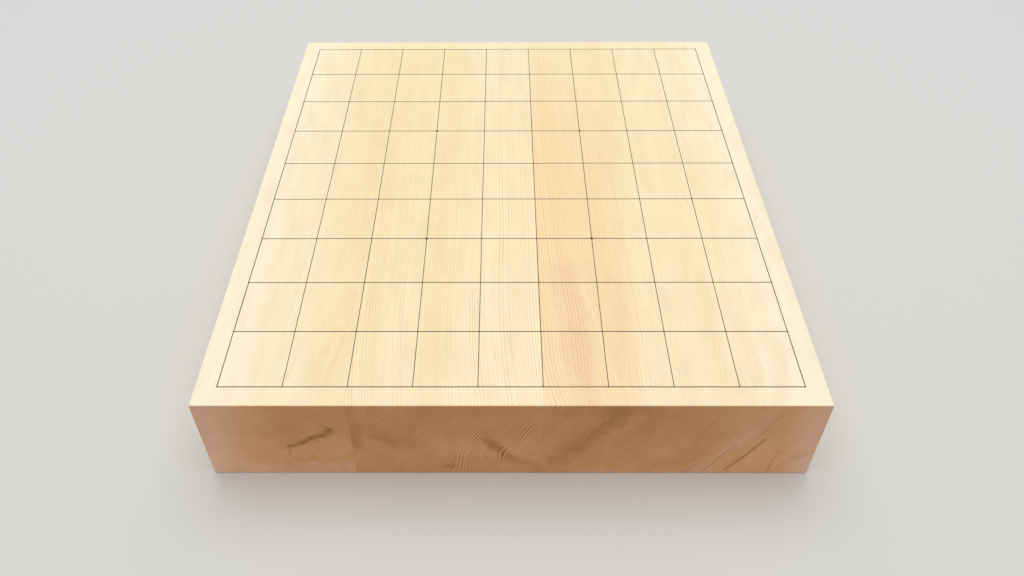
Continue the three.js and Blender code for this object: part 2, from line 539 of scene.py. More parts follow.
# Satin wax on the face, the duller end, and the ripple of the fibres and the rings, in millimetres
WAX_ROUGHNESS = Pattern((4, 80, 4), 0.42, 0.5)
END_ROUGHNESS = 0.72
FIBRE_RIPPLE = 0.4
RING_RIPPLE = 0.006


def stroke_tree():
    """Node group that says how far inside a ragged stroke between two points a place lies."""
    inputs = {"Vector": ("Place", "Start", "End"), "Float": ("Half Width",)}
    tree, given = new_group("soft_stroke", "ShaderNodeTree", inputs, ("Inside", "Float"))
    rag_place = add(tree, VECTOR_MATH, {0: given["Place"], "Scale": 1 / RAG_SIZE}, "SCALE")
    rag = add(tree, NOISE, {"Vector": rag_place, "Scale": 1.0, "Detail": 2.0}).outputs["Color"]
    rag = add(tree, VECTOR_MATH, (rag, (1, 1, 0), (-0.5, -0.5, 0)), "MULTIPLY_ADD")
    reach = add(tree, MATH, (given["Half Width"], RAG_SHARE, RAG_REACH), "MULTIPLY_ADD")
    rag = add(tree, VECTOR_MATH, {0: rag, "Scale": reach}, "SCALE")
    place = add(tree, VECTOR_MATH, (given["Place"], rag), "ADD")
    run = add(tree, VECTOR_MATH, (given["End"], given["Start"]), "SUBTRACT")
    gone = add(tree, VECTOR_MATH, (place, given["Start"]), "SUBTRACT")
    overlap = add(tree, VECTOR_MATH, (gone, run), "DOT_PRODUCT").outputs["Value"]
    square = add(tree, VECTOR_MATH, (run, run), "DOT_PRODUCT").outputs["Value"]
    along = add(tree, MATH, (overlap, square), "DIVIDE", use_clamp=True)
    nearest = add(tree, VECTOR_MATH, {0: run, "Scale": along}, "SCALE")
    miss = add(tree, VECTOR_MATH, (gone, nearest), "DISTANCE").outputs["Value"]
    nearing = {"Value": miss, "From Min": given["Half Width"], "From Max": 0.0}
    inside = add(tree, MAP_RANGE, nearing, interpolation_type="SMOOTHSTEP")

    # Fibres along the stroke that took more or less of its tone
    length = add(tree, VECTOR_MATH, (run,), "LENGTH").outputs["Value"]
    travelled = add(tree, MATH, (overlap, length), "DIVIDE")
    fibres = mottle(tree, add(tree, COMBINE, {"X": travelled, "Y": miss}), STROKE_FIBRES)
    inside = add(tree, MATH, (inside, fibres), "MULTIPLY", use_clamp=True)
    add(tree, "NodeGroupOutput", {"Inside": inside})
    return tree


def mottle(tree, place, pattern, seed=None):
    """The value of a soft mottle at a place. Each seed gives another one of the same pattern."""
    place = add(tree, VECTOR_MATH, (place, [1 / size for size in pattern.size]), "MULTIPLY")
    inputs = {"Vector": place, "Scale": 1.0, "Detail": pattern.detail}
    if seed is None:
        noise = add(tree, NOISE, inputs)
    else:
        noise = add(tree, NOISE, {**inputs, "W": seed}, noise_dimensions="4D")
    values = {"Value": noise, "From Min": MOTTLE_RANGE[0], "From Max": MOTTLE_RANGE[1]}
    return add(tree, MAP_RANGE, {**values, "To Min": pattern.low, "To Max": pattern.high})


class Timber:
    """The wood of one stave as nodes: where a place lies in it, its grain there and how the face is
    cut. Lengths are millimetres."""

    def __init__(self, name, colours, stroke_group):
        self.stave = GRAIN[name]
        self.low, self.high = (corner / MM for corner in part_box(f"stave_{name}"))
        self.tones = {each: tuple(getattr(colours, each)) for each in settings_of(colours)}
        self.stroke_group = stroke_group
        self.material, self.tree, self.shader = new_material(f"waxed_conifer_{name}")
        given = add(self.tree, "ShaderNodeTexCoord").outputs
        self.place = add(self.tree, VECTOR_MATH, {0: given["Object"], "Scale": 1 / MM}, "SCALE")
        self.x, self.y, self.z = add(self.tree, SEPARATE, (self.place,)).outputs
        facing = add(self.tree, SEPARATE, (given["Normal"],)).outputs
        self.is_end, self.is_side = (self.turned_to(facing[axis]) for axis in ("Y", "X"))
        self.not_side = add(self.tree, MATH, (1.0, self.is_side), "SUBTRACT")

        # Places as shares: along the board, across it with a wobble, and nearer to the player
        lengthwise = {"Value": self.y, "From Min": self.low.y, "From Max": self.high.y}
        self.along_share = add(self.tree, MAP_RANGE, lengthwise)
        wobbled = add(self.tree, MATH, (self.x, self.mottled(TONE_WOBBLE)), "ADD")
        crosswise = {"Value": wobbled, "From Min": self.low.x, "From Max": self.high.x}
        self.across_share = add(self.tree, MAP_RANGE, crosswise)
        nearing = {"Value": self.y, "From Min": self.high.y, "From Max": NEAR_TONES_Y}
        self.nearness = add(self.tree, MAP_RANGE, nearing, interpolation_type="SMOOTHSTEP")

        # The grain: straight in the log, so a place is taken across the bent fibres
        self.across = self.fibre_place()
        self.fibres = add(self.tree, COMBINE, {"X": self.across, "Y": self.y, "Z": self.z})
        self.fine_fibres = self.mottled(FINE_FIBRES, self.fibres)
        self.years = self.year_count()
        part_of_year = add(self.tree, MATH, (self.years,), "FRACT")
        autumn = add(self.tree, "ShaderNodeFloatCurve", {"Value": part_of_year}, points=YEAR_PROFILE)
        year = add(self.tree, MATH, (self.years,), "FLOOR")
        dryness = add(self.tree, "ShaderNodeTexWhiteNoise", {"W": year}, noise_dimensions="1D")
        depth = add(self.tree, MAP_RANGE, {"Value": dryness, "To Min": PALEST_AUTUMN})
        self.autumn = add(self.tree, MATH, (autumn, depth), "MULTIPLY")
        self.density = add(self.tree, MATH, (self.autumn, MEAN_AUTUMN), "SUBTRACT")

    def turned_to(self, part_of_normal):
        """How squarely a face is turned to an axis, from 0 to 1."""
        size = add(self.tree, MATH, (part_of_normal,), "ABSOLUTE")
        values = {"Value": size, "From Min": TURNED[0], "From Max": TURNED[1]}
        return add(self.tree, MAP_RANGE, values, interpolation_type="SMOOTHSTEP")

    def mottled(self, pattern, place=None):
        """A mottle of this stave's own."""
        return mottle(self.tree, place or self.place, pattern, self.stave.seed)

    def tones_across(self, pairs):
        """The tones that are given at places across the board."""
        stops = [(share(x, self.low.x, self.high.x), self.tones[tone]) for x, tone in pairs]
        return add(self.tree, "ShaderNodeValToRGB", {"Fac": self.across_share}, stops=stops)

    def levels_across(self, pairs):
        """The levels that are given at places across the board."""
        points = [(share(x, self.low.x, self.high.x), level) for x, level in pairs]
        return add(self.tree, "ShaderNodeFloatCurve", {"Value": self.across_share}, points=points)

    def stroked(self, colour, across, up, strokes):
        """A colour with strokes over it."""
        place = add(self.tree, COMBINE, {"X": across, "Y": up})
        for stroke in strokes:
            ends = {"Start": (*stroke.start, 0), "End": (*stroke.end, 0)}
            values = {"Place": place, **ends, "Half Width": stroke.half_width}
            inside = add(self.tree, "ShaderNodeGroup", values, node_tree=self.stroke_group)
            factor = add(self.tree, MATH, (inside, stroke.strength), "MULTIPLY")
            layers = {"Factor": factor, "A": colour, "B": self.tones[stroke.tone]}
            colour = add(self.tree, MIX, layers, data_type="RGBA")
        return colour

    def fibre_place(self):
        """Where a place lies across the board once its bent fibres are straightened."""
        tree, stave = self.tree, self.stave
        points = [
            (share(y, self.low.y, self.high.y), 0.5 + stray / (2 * BEND_SPAN)) for y, stray in stave.bends
        ]
        bend = add(tree, "ShaderNodeFloatCurve", {"Value": self.along_share}, points=points)
        bend = add(tree, MAP_RANGE, {"Value": bend, "To Min": -BEND_SPAN, "To Max": BEND_SPAN})
        crosswise = {"Value": self.x, "From Min": self.low.x, "From Max": self.high.x}
        left, right = stave.bend_shares
        bend_share = add(tree, MAP_RANGE, {**crosswise, "To Min": left, "To Max": right})
        stray = add(tree, MATH, (bend, bend_share), "MULTIPLY")
        return add(tree, MATH, (self.x, stray), "SUBTRACT")

    def year_count(self):
        """The year in which the wood of a place grew, counted from the pith."""
        tree, stave = self.tree, self.stave
        place = add(tree, COMBINE, {"X": self.across, "Z": self.z})
        shares = [1 / size for size in TRUNK_WAVER_SIZE]
        waver_place = add(tree, VECTOR_MATH, (self.place, shares), "MULTIPLY")
        values = {"Vector": waver_place, "W": stave.seed, "Scale": 1.0, "Detail": 1.0}
        waver = add(tree, NOISE, values, noise_dimensions="4D").outputs["Color"]
        least = -TRUNK_WAVER / 2
        values = (waver, (TRUNK_WAVER, 0, TRUNK_WAVER), (least, 0, least))
        waver = add(tree, VECTOR_MATH, values, "MULTIPLY_ADD")
        place = add(tree, VECTOR_MATH, (place, waver), "ADD")
        for swirl in stave.swirls:
            gap = add(tree, VECTOR_MATH, (self.place, swirl.centre), "DISTANCE")
            nearing = {"Value": gap.outputs["Value"], "From Min": swirl.radius, "From Max": 0.0}
            pull = add(tree, MAP_RANGE, nearing, interpolation_type="SMOOTHERSTEP")
            push = add(tree, VECTOR_MATH, {0: (swirl.push[0], 0, swirl.push[1]), "Scale": pull}, "SCALE")
            place = add(tree, VECTOR_MATH, (place, push), "ADD")
        pith = (stave.pith[0], 0, stave.pith[1])
        radius = add(tree, VECTOR_MATH, (place, pith), "DISTANCE").outputs["Value"]
        years = add(tree, MATH, (radius, stave.ring), "DIVIDE")
        luck_place = add(tree, MATH, (years, LUCK_RATE), "MULTIPLY")
        values = {"W": luck_place, "Scale": 1.0, "Detail": 2.0}
        luck = add(tree, NOISE, values, noise_dimensions="1D")
        return add(tree, MATH, (luck, LUCK, years), "MULTIPLY_ADD")


def long_grain(timber):
    """Colour of the faces and sides, along the fibres: tones that run with the grain, thin autumn lines,
    clearer in some places than in others, and a paler margin round the grid, painted light that stands for a
    glow along the board's edges."""
    tree, stave, tones = timber.tree, timber.stave, timber.tones
    far, near = (timber.tones_across(pairs) for pairs in (stave.far_tones, stave.near_tones))
    face = add(tree, MIX, {"Factor": timber.nearness, "A": far, "B": near}, data_type="RGBA")
    flush = add(tree, MATH, (timber.mottled(BLUSHES, timber.fibres), 0.0), "MAXIMUM")
    flush = add(tree, MATH, (flush, timber.not_side), "MULTIPLY")
    face = add(tree, MIX, {"Factor": flush, "A": face, "B": tones["blush"]}, data_type="RGBA")
    face = timber.stroked(face, timber.across, timber.y, stave.face_strokes)
    warmth = add(tree, MATH, (timber.is_side, SIDE_WARMTH), "MULTIPLY")
    face = add(tree, MIX, {"Factor": warmth, "A": face, "B": tones["amber"]}, data_type="RGBA")
    stops = [(place, linear(tint)) for place, tint in LENGTHWISE_TINTS]
    lengthwise_tint = add(tree, "ShaderNodeValToRGB", {"Fac": timber.along_share}, stops=stops)
    face = add(tree, VECTOR_MATH, (face, lengthwise_tint), "MULTIPLY")

    # Autumn lines take light away from the face, and fibres, streaks and clouds tint it.
    far, near = (timber.levels_across(pairs) for pairs in (stave.far_clarity, stave.near_clarity))
    clarity = add(tree, MIX, {"Factor": timber.nearness, "A": far, "B": near}, data_type="FLOAT")
    sided = {"Factor": timber.is_side, "A": clarity, "B": SIDE_CLARITY}
    clarity = add(tree, MIX, sided, data_type="FLOAT")
    depth = add(tree, MATH, (timber.density, clarity), "MULTIPLY")
    clear_rings = timber.mottled(CLEAR_RINGS, timber.fibres)
    depth = add(tree, MATH, (depth, clear_rings), "MULTIPLY")
    taken = [1 - channel for channel in tones["autumn_line"][:3]]
    loss = add(tree, VECTOR_MATH, {0: taken, "Scale": depth}, "SCALE")
    loss = add(tree, VECTOR_MATH, (loss, face), "MULTIPLY")
    face = add(tree, VECTOR_MATH, (face, loss), "SUBTRACT")
    streaks = timber.mottled(STREAKS, timber.fibres)
    for tint in (timber.fine_fibres, streaks, timber.mottled(CLOUDS)):
        face = add(tree, VECTOR_MATH, {0: face, "Scale": tint}, "SCALE")

    # Painted light: the margin round the grid is made paler towards the edges, a painted glow of light along
    # the board's edges.
    gaps = []
    for place, half in ((timber.y, BOARD_HIGH.y / MM), (timber.x, BOARD_HIGH.x / MM)):
        off_middle = add(tree, MATH, (place,), "ABSOLUTE")
        gaps.append(add(tree, MATH, (half, off_middle), "SUBTRACT"))
    gap = add(tree, MATH, gaps, "MINIMUM")
    far, near = GLOW_STRENGTH
    brightest_glow = add(tree, MAP_RANGE, {"Value": timber.nearness, "To Min": far, "To Max": near})
    outward = {"Value": gap, "From Min": GLOW_BAND[0], "From Max": GLOW_BAND[1], "To Max": brightest_glow}
    painted_glow = add(tree, MAP_RANGE, outward, interpolation_type="SMOOTHSTEP")
    painted_glow = add(tree, MATH, (painted_glow, timber.not_side), "MULTIPLY")
    return add(tree, MIX, {"Factor": painted_glow, "A": face, "B": tones["sapwood"]}, data_type="RGBA")


def end_grain(timber):
    """Colour of the two ends, across the fibres: browner, with the rings in relief of light and dark, bands
    of years, blotches and pores, and painted light bounced up from the floor that makes them paler towards
    the foot. Only the near end has strokes of resin, stain and painted light."""
    tree, stave = timber.tree, timber.stave
    end = timber.tones_across(stave.end_tones)
    is_near = add(tree, MATH, (timber.y, 0.0), "LESS_THAN")
    marked = timber.stroked(end, timber.x, timber.z, stave.end_strokes)
    end = add(tree, MIX, {"Factor": is_near, "A": end, "B": marked}, data_type="RGBA")

    turn = add(tree, MATH, (timber.years, math.tau), "MULTIPLY")
    wave = add(tree, MATH, (turn,), "SINE")
    rings = add(tree, MATH, (timber.density, RING_DENSITY), "MULTIPLY")
    rings = add(tree, MATH, (wave, RING_WAVE, rings), "MULTIPLY_ADD")
    shown = add(tree, MATH, (timber.mottled(RINGS_SHOWN), LEAST_RINGS), "MAXIMUM")
    foot, full = stave.relief_rise
    rising = {"Value": timber.z, "From Min": foot, "From Max": full}
    risen = add(tree, MAP_RANGE, rising, interpolation_type="SMOOTHSTEP")
    for factor in (shown, timber.levels_across(stave.end_relief), risen):
        rings = add(tree, MATH, (rings, factor), "MULTIPLY")
    year_place = add(tree, COMBINE, {"X": timber.years, "Y": timber.y, "Z": timber.z})
    bands, streaks = (timber.mottled(pattern, year_place) for pattern in (YEAR_BANDS, YEAR_STREAKS))
    tint = rings
    for part in (bands, streaks, timber.mottled(BLOTCHES), timber.mottled(PORES)):
        tint = add(tree, MATH, (tint, part), "ADD")
    fleck = add(tree, VECTOR_MATH, {0: timber.tones["end_fleck"][:3], "Scale": tint}, "SCALE")
    end = add(tree, VECTOR_MATH, (end, fleck), "ADD")
    # Painted light: the ends grow lighter and bluer towards their foot, as light bounced up from the floor
    rising = {"Vector": timber.z, "From Max": [BOUNCE_HEIGHT] * 3, "To Min": BOUNCE_TINT}
    painted_bounce = add(tree, MAP_RANGE, rising, data_type="FLOAT_VECTOR")
    return add(tree, VECTOR_MATH, (end, painted_bounce), "MULTIPLY")


def waxed_conifer(name, colours, stroke_group):
    """Planed and waxed conifer, such as spruce or torreya: pale spring wood with thin amber autumn
    lines that run along the board, browner and duller where the fibres are cut across, under a
    satin wax that shows the fibres only as a faint ripple."""
    timber = Timber(name, colours, stroke_group)
    tree, shader = timber.tree, timber.shader
    layers = {"Factor": timber.is_end, "A": long_grain(timber), "B": end_grain(timber)}
    connect(tree, shader.inputs["Base Color"], add(tree, MIX, layers, data_type="RGBA"))
    sheen = timber.mottled(WAX_ROUGHNESS, timber.fibres)
    layers = {"Factor": timber.is_end, "A": sheen, "B": END_ROUGHNESS}
    connect(tree, shader.inputs["Roughness"], add(tree, MIX, layers, data_type="FLOAT"))
    ripple = add(tree, MATH, (timber.fine_fibres, FIBRE_RIPPLE), "MULTIPLY")
    ripple = add(tree, MATH, (timber.autumn, RING_RIPPLE, ripple), "MULTIPLY_ADD")
    bump = add(tree, "ShaderNodeBump", {"Strength": 1.0, "Distance": MM, "Height": ripple})
    connect(tree, shader.inputs["Normal"], bump)
    return timber.material


def dried_glue(colours):
    """Clear hide glue in a tight joint: it takes the colour of the wood on both sides of it."""
    material, tree, shader = new_material("dried_glue")
    facing = add(tree, SEPARATE, (add(tree, "ShaderNodeTexCoord").outputs["Normal"],))
    facing = add(tree, MATH, (facing.outputs["Y"],), "ABSOLUTE")
    is_end = add(tree, MATH, (facing, sum(TURNED) / 2), "GREATER_THAN")
    layers = {"Factor": is_end, "A": tuple(colours.glue_face), "B": tuple(colours.glue_end)}
    connect(tree, shader.inputs["Base Color"], add(tree, MIX, layers, data_type="RGBA"))
    shader.inputs["Roughness"].default_value = 0.5
    return material


def black_lacquer(colours):
    """Black tree lacquer drawn in a raised line: nearly black, smooth and fairly glossy."""
    material, _, shader = new_material("black_lacquer")
    shader.inputs["Base Color"].default_value = tuple(colours.lacquer)
    shader.inputs["Roughness"].default_value = 0.3
    shader.inputs["Specular IOR Level"].default_value = 0.3
    return material


# Shapes


def finish_piece(piece, node):
    """Puts a finished piece in the place of its CAD node."""
    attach(piece, BODY)
    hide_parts(node)


def glued_slice(name, node, edge_round, left_is_free, right_is_free):
    """A slice of the board: every edge is rounded but those of its glued sides."""
    low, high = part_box(node)
    mesh_maker = bmesh.new()
    weights = mesh_maker.edges.layers.float.new("bevel_weight_edge")
    bmesh.ops.create_cube(mesh_maker, size=1.0)
    glued_sides = [side for side, is_free in ((-0.5, left_is_free), (0.5, right_is_free)) if not is_free]
    for edge in mesh_maker.edges:
        is_glued = any(all(corner.co.x == side for corner in edge.verts) for side in glued_sides)
        edge.smooth = not is_glued
        edge[weights] = float(not is_glued)
    for face in mesh_maker.faces:
        face.smooth = True
    middle = (low + high) / 2
    for corner in mesh_maker.verts:
        corner.co = middle + Vector(c * s for c, s in zip(corner.co, high - low))
    mesh = bpy.data.meshes.new(name)
    mesh_maker.to_mesh(mesh)
    mesh_maker.free()
    piece = new_object(name, mesh)
    bevel = piece.modifiers.new("edge_round", "BEVEL")
    bevel.limit_method = "WEIGHT"
    bevel.width = edge_round
    bevel.segments = EDGE_SEGMENTS
    bevel.harden_normals = True
    return piece


def end_tree(tree, shape, material):
    """Ends a Geometry Nodes tree with its shape made smooth, real and of one material."""
    shape = add(tree, "GeometryNodeSetShadeSmooth", {"Geometry": shape})
    shape = add(tree, "GeometryNodeRealizeInstances", {"Geometry": shape})
    shape = add(tree, "GeometryNodeSetMaterial", {"Geometry": shape, "Material": material})
    add(tree, "NodeGroupOutput", {"Geometry": shape})
    return tree


def uneven_share(tree, noise, amount):
    """A share that varies softly about 1, with the values of its noise and how much it varies."""
    noise = add(tree, NOISE, noise, noise_dimensions="4D")
    noise = add(tree, MATH, (noise, 0.5), "SUBTRACT")
    return add(tree, MATH, (noise, amount, 1.0), "MULTIPLY_ADD")


def flat_below(tree, rise, given):
    """How high lacquer stands where a unit circle or ball has this rise: flat below, at its grip."""
    height = add(tree, MATH, (rise, given["Height"]), "MULTIPLY")
    below = add(tree, MATH, (given["Grip"], -1.0), "MULTIPLY")
    return add(tree, MATH, (height, below), "MAXIMUM")


def lacquer_line_tree(material):
    """Geometry Nodes of one drawn line: a ridge with a rounded crown, which starts and ends just
    past its first and last crossing and climbs over the lines that it crosses."""
    sizes = ("Overrun", "Width", "Height", "Grip", "Climb", "Crossed Width", "Climb Run")
    inputs = {
        "Vector": ("First Crossing", "Step"),
        "Int": ("Squares",),
        "Float": (*sizes, "Sway", "Swell", "Seed"),
    }
    tree, given = new_group("lacquer_line", "GeometryNodeTree", inputs, ("Geometry", "Geometry"))

    # Points stand closer together near the crossings, where the line climbs.
    last_point = add(tree, MATH, (given["Squares"], POINTS_PER_SQUARE), "MULTIPLY")
    count = add(tree, MATH, (last_point, 1.0), "ADD")
    step_length = add(tree, VECTOR_MATH, (given["Step"],), "LENGTH").outputs["Value"]
    overrun = add(tree, MATH, (given["Overrun"], step_length), "DIVIDE")
    before = add(tree, MATH, (overrun, -1.0), "MULTIPLY")
    beyond = add(tree, MATH, (overrun, given["Squares"]), "ADD")
    index = add(tree, "GeometryNodeInputIndex")
    spaced = {"Value": index, "From Max": last_point, "To Min": before, "To Max": beyond}
    squares_along = add(tree, MAP_RANGE, spaced)
    on_grid = {"Value": squares_along, "Min": 0.0, "Max": given["Squares"]}
    turn = add(tree, MATH, (add(tree, "ShaderNodeClamp", on_grid), math.tau), "MULTIPLY")
    pull = add(tree, MATH, (turn,), "SINE")
    squares_along = add(tree, MATH, (pull, -CROWDING / math.tau, squares_along), "MULTIPLY_ADD")
    travelled = add(tree, VECTOR_MATH, {0: given["Step"], "Scale": squares_along}, "SCALE")
    place = add(tree, VECTOR_MATH, (given["First Crossing"], travelled), "ADD")

    # Climb onto the line that is crossed
    crossing = add(tree, MATH, (squares_along,), "ROUND")
    nearest = add(tree, MATH, (squares_along, crossing), "SUBTRACT")
    nearest = add(tree, MATH, (nearest,), "ABSOLUTE")
    nearest = add(tree, MATH, (nearest, step_length), "MULTIPLY")
    half_crossed = add(tree, MATH, (given["Crossed Width"], 0.5), "MULTIPLY")
    foot = add(tree, MATH, (half_crossed, given["Climb Run"]), "ADD")
    slope = {
        "Value": nearest,
        "From Min": half_crossed,
        "From Max": foot,
        "To Min": given["Climb"],
        "To Max": 0.0,
    }
    climbed = add(tree, MAP_RANGE, slope, interpolation_type="SMOOTHSTEP")

    # Small errors of the hand
    hand_place = add(tree, VECTOR_MATH, {0: place, "Scale": 1 / HAND_RUN}, "SCALE")
    straying = {"Vector": hand_place, "W": given["Seed"], "Scale": 1.0, "Detail": 2.0}
    hand = add(tree, NOISE, straying, noise_dimensions="4D")
    low, high = HAND_ERRORS
    evened = {"Value": hand, "From Min": low, "From Max": high, "To Min": -1.0, "To Max": 1.0}
    stray = add(tree, MAP_RANGE, evened)
    stray = add(tree, MATH, (stray, given["Sway"]), "MULTIPLY")
    side = add(tree, VECTOR_MATH, (given["Step"], (0, 0, 1)), "CROSS_PRODUCT")
    side = add(tree, VECTOR_MATH, (side,), "NORMALIZE")
    aside = add(tree, VECTOR_MATH, {0: side, "Scale": stray}, "SCALE")
    for shift in (aside, add(tree, COMBINE, {"Z": climbed})):
        place = add(tree, VECTOR_MATH, (place, shift), "ADD")
    filling = {"Vector": hand_place, "W": given["Seed"], "Scale": FILL_RATE, "Detail": 1.0}
    fullness = uneven_share(tree, filling, given["Swell"])

    # The line's own shape: flat underneath, rounded above
    path = add(tree, "GeometryNodeMeshLine", {"Count": count})
    path = add(tree, "GeometryNodeSetPosition", {"Geometry": path, "Position": place})
    path = add(tree, "GeometryNodeMeshToCurve", {"Mesh": path})
    path = add(tree, "GeometryNodeSetCurveNormal", {"Curve": path})
    round_outline = {"Resolution": CROWN_SIDES, "Radius": 1.0}
    outline = add(tree, "GeometryNodeCurvePrimitiveCircle", round_outline).outputs["Curve"]
    axes = add(tree, SEPARATE, (add(tree, "GeometryNodeInputPosition"),)).outputs
    half_width = add(tree, MATH, (given["Width"], 0.5), "MULTIPLY")
    x = add(tree, MATH, (axes["X"], half_width), "MULTIPLY")
    flattened = add(tree, COMBINE, {"X": x, "Y": flat_below(tree, axes["Y"], given)})
    outline = add(tree, "GeometryNodeSetPosition", {"Geometry": outline, "Position": flattened})
    ridge = {"Curve": path, "Profile Curve": outline, "Scale": fullness, "Fill Caps": True}
    return end_tree(tree, add(tree, "GeometryNodeCurveToMesh", ridge), material)


def star_drop_tree(material):
    """Geometry Nodes of one star point: a low drop of lacquer, flat underneath."""
    inputs = {"Vector": ("Centre",), "Float": ("Radius", "Height", "Grip", "Uneven", "Seed")}
    tree, given = new_group("star_drop", "GeometryNodeTree", inputs, ("Geometry", "Geometry"))
    ball = {"Segments": STAR_SEGMENTS, "Rings": STAR_RINGS, "Radius": 1.0}
    ball = add(tree, "GeometryNodeMeshUVSphere", ball).outputs["Mesh"]
    position = add(tree, "GeometryNodeInputPosition")
    axes = add(tree, SEPARATE, (position,)).outputs
    lumps = {"Vector": position, "W": given["Seed"], "Scale": STAR_LUMPS, "Detail": 0.0}
    size = uneven_share(tree, lumps, given["Uneven"])
    reach = add(tree, MATH, (size, given["Radius"]), "MULTIPLY")
    x = add(tree, MATH, (axes["X"], reach), "MULTIPLY")
    y = add(tree, MATH, (axes["Y"], reach), "MULTIPLY")
    place = add(tree, COMBINE, {"X": x, "Y": y, "Z": flat_below(tree, axes["Z"], given)})
    place = add(tree, VECTOR_MATH, (place, given["Centre"]), "ADD")
    drop = add(tree, "GeometryNodeSetPosition", {"Geometry": ball, "Position": place})
    return end_tree(tree, drop, material)


def grown_piece(name, tree, values):
    """A plain mesh object of what a Geometry Nodes tree makes from named values."""
    seedling = new_object(f"{name}_nodes", bpy.data.meshes.new(f"{name}_nodes"))
    modifier = seedling.modifiers.new("nodes", "NODES")
    modifier.node_group = tree
    for item in tree.interface.items_tree:
        if item.in_out == "INPUT":
            modifier[item.identifier] = values[item.name]
    grown = seedling.evaluated_get(bpy.context.evaluated_depsgraph_get())
    mesh = bpy.data.meshes.new_from_object(grown)
    mesh.name = name
    bpy.data.objects.remove(seedling)
    return new_object(name, mesh)


def line_boxes(kind):
    """The boxes of the lines of one kind, in order."""
    return [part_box(f"{kind}_line_{number:02d}") for number in range(1, LINE_COUNT + 1)]


class SHOGI_OT_staves(bpy.types.Operator):
    """Makes the three staves and the films of glue between them"""

    bl_idname = "shogi.staves"
    bl_label = "Staves and glue"

    def execute(self, context):
        settings = context.scene.shogi_board
        edge_round = settings.sizes.edge_round
        stroke_group = stroke_tree()
        for name in STAVES:
            free = (name == STAVES[0], name == STAVES[-1])
            piece = glued_slice(f"wood_stave_{name}", f"stave_{name}", edge_round, *free)
            piece.data.materials.append(waxed_conifer(name, settings.colours, stroke_group))
            finish_piece(piece, f"stave_{name}")
        glue = dried_glue(settings.colours)
        for name in GLUE_FILMS:
            piece = glued_slice(f"glue_film_{name}", f"glue_line_{name}", edge_round, False, False)
            piece.data.materials.append(glue)
            finish_piece(piece, f"glue_line_{name}")
        return {"FINISHED"}


class SHOGI_OT_grid(bpy.types.Operator):
    """Draws the ten lengthwise and ten crosswise lines of the grid"""

    bl_idname = "shogi.grid"
    bl_label = "Grid lines"

    def execute(self, context):
        settings = context.scene.shogi_board
        sizes = settings.sizes
        tree = lacquer_line_tree(black_lacquer(settings.colours))
        files, ranks = line_boxes("file"), line_boxes("rank")
        file_x = [(low.x + high.x) / 2 for low, high in files]
        rank_y = [(low.y + high.y) / 2 for low, high in ranks]
        top = BOARD_HIGH.z
        shared = {
            "Squares": LINE_COUNT - 1,
            "Grip": sizes.grip,
            "Climb Run": sizes.climb_run,
            "Sway": sizes.sway,
            "Swell": sizes.swell,
        }
        file_starts = [(x, rank_y[0], top) for x in file_x]
        rank_starts = [(file_x[0], y, top) for y in rank_y]
        file_step = (0.0, rank_y[1] - rank_y[0], 0.0)
        rank_step = (file_x[1] - file_x[0], 0.0, 0.0)
        file_height = files[0][1].z - top
        kinds = (
            ("file", 0, files, ranks, file_starts, file_step, 0.0, sizes.file_fill),
            ("rank", 1, ranks, files, rank_starts, rank_step, file_height, 1.0),
        )
        for kind, axis, boxes, crossed, starts, step, climb, fill in kinds:
            crossed_widths = [(high - low)[1 - axis] for low, high in crossed]
            for number, ((low, high), start) in enumerate(zip(boxes, starts), 1):
                values = {
                    **shared,
                    "First Crossing": start,
                    "Step": step,
                    "Overrun": crossed_widths[0] / 2,
                    "Width": (high - low)[axis] * fill,
                    "Height": high.z - top - climb,
                    "Climb": climb,
                    "Crossed Width": crossed_widths[1],
                    "Seed": float(sizes.seed + number + axis * LINE_COUNT),
                }
                piece = grown_piece(f"lacquer_{kind}_{number:02d}", tree, values)
                finish_piece(piece, f"{kind}_line_{number:02d}")
        return {"FINISHED"}


class SHOGI_OT_star_points(bpy.types.Operator):
    """Sets the four star points on their crossings"""

    bl_idname = "shogi.star_points"
    bl_label = "Star points"

    def execute(self, context):
        sizes = context.scene.shogi_board.sizes
        tree = star_drop_tree(bpy.data.materials["black_lacquer"])
        for number, name in enumerate(STAR_POINTS):
            low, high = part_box(f"star_point_{name}")
            middle = (low + high) / 2
            values = {
                "Centre": (middle.x, middle.y, BOARD_HIGH.z),
                "Radius": (high.x - low.x) / 2,
                "Height": high.z - BOARD_HIGH.z,
                "Grip": sizes.grip,
                "Uneven": STAR_UNEVEN,
                "Seed": float(sizes.seed + number),
            }
            piece = grown_piece(f"lacquer_star_{name}", tree, values)
            finish_piece(piece, f"star_point_{name}")
        return {"FINISHED"}


# Stage

CAMERA_PLACE = (-4.0 * MM, -445.6 * MM, 430.3 * MM)
CAMERA_PITCH = math.radians(-41.195)
CAMERA_YAW = math.radians(-0.202)
CAMERA_ROLL = math.radians(0.262)
CAMERA_SHIFT = (0.0138, -0.080)
FLOOR_RADIUS = 12.0
FLOOR_SIDES = 96
FLOOR_DROP = 0.05 * MM
SWEEP_START = 0.7
SWEEP_END = 2.6
SOFTBOX_SIZE = 2.4
SOFTBOX_PLACE = (0.0, 0.35, 2.2)


def seen_directly(tree):
    """One for a ray that shows the background: to the camera, off a gloss or through glass."""
    ray = add(tree, "ShaderNodeLightPath").outputs
    seen = ray["Is Camera Ray"]
    for kind in ("Is Glossy Ray", "Is Transmission Ray"):
        seen = add(tree, MATH, (seen, ray[kind]), "MAXIMUM")
    return seen


